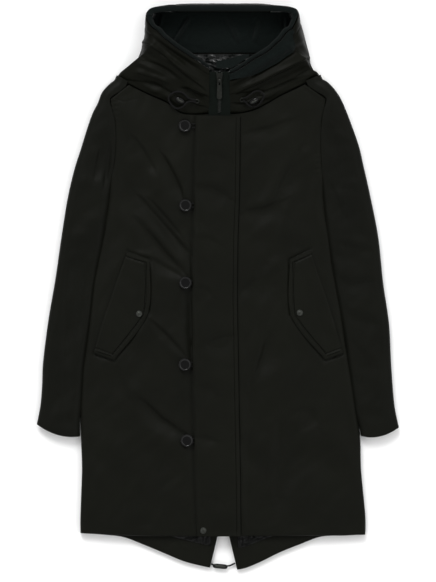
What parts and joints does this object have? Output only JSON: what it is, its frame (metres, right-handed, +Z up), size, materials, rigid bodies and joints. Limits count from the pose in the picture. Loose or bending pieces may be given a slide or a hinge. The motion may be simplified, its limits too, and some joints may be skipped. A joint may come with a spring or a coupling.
{
  "type": "parka",
  "caption": "Hooded parka lying flat on its back, closed, with a buttoned storm placket, slanted pocket flaps and a split fishtail back.",
  "frame": {"origin": "on the floor under the middle of the part", "axes": "+X to the picture's right (the wearer's left), +Y towards the hood, +Z up from the floor, out of the closed front"},
  "size_m": [0.689, 1.0771, 0.0587],
  "materials": {
    "shell": "matte satin twill",
    "fleece": "brushed, matte",
    "smooth_lining": "shiny smooth lining",
    "zip_tape": "woven tape",
    "zip_metal": "dark, satin",
    "button": "glossy",
    "snap": "dark, satin",
    "elastic_cord": "braided"
  },
  "bodies": {
    "coat": {"back_left": "shell", "back_right": "shell", "button_1": "button", "button_2": "button", "button_3": "button", "button_4": "button", "button_5": "button", "button_loop_1": "elastic_cord", "button_loop_2": "elastic_cord", "button_loop_3": "elastic_cord", "button_loop_4": "elastic_cord", "button_loop_5": "elastic_cord", "collar_stand": "fleece", "front_left": "shell", "front_right": "shell", "hem_cord": "elastic_cord", "hem_cord_lock": "button", "hood_cord_left": "elastic_cord", "hood_cord_lock_left": "button", "hood_cord_lock_right": "button", "hood_cord_right": "elastic_cord", "hood_crown": "shell", "hood_edge_binding": "fleece", "hood_eyelet_left": "snap", "hood_eyelet_right": "snap", "hood_facing_left": "fleece", "hood_lining_crown": "fleece", "hood_lining_floor": "fleece", "hood_lining_left": "fleece", "hood_lining_right": "fleece", "hood_side_left": "shell", "hood_side_right": "shell", "neck_lining": "smooth_lining", "placket": "shell", "pocket_flap_left": "shell", "pocket_flap_right": "shell", "sleeve_left": "shell", "sleeve_right": "shell", "snap_hem": "snap", "snap_pocket_left": "snap", "snap_pocket_right": "snap", "tail_facing_left": "shell", "tail_facing_right": "shell", "tail_lining_left": "smooth_lining", "tail_lining_right": "smooth_lining", "zip_slider": "zip_metal", "zip_slider_bridge": "zip_metal", "zip_tape_left": "zip_tape", "zip_tape_right": "zip_tape"},
    "pull": {"zip_pull": "zip_metal"}
  },
  "joints": [
    {"name": "pull_tab", "type": "hinge", "parent": "coat", "child": "pull", "pos_m": [0.0035, 0.39, 0.04734], "axis": [-1, 0, 0], "range_deg": [0, 160]}
  ]
}
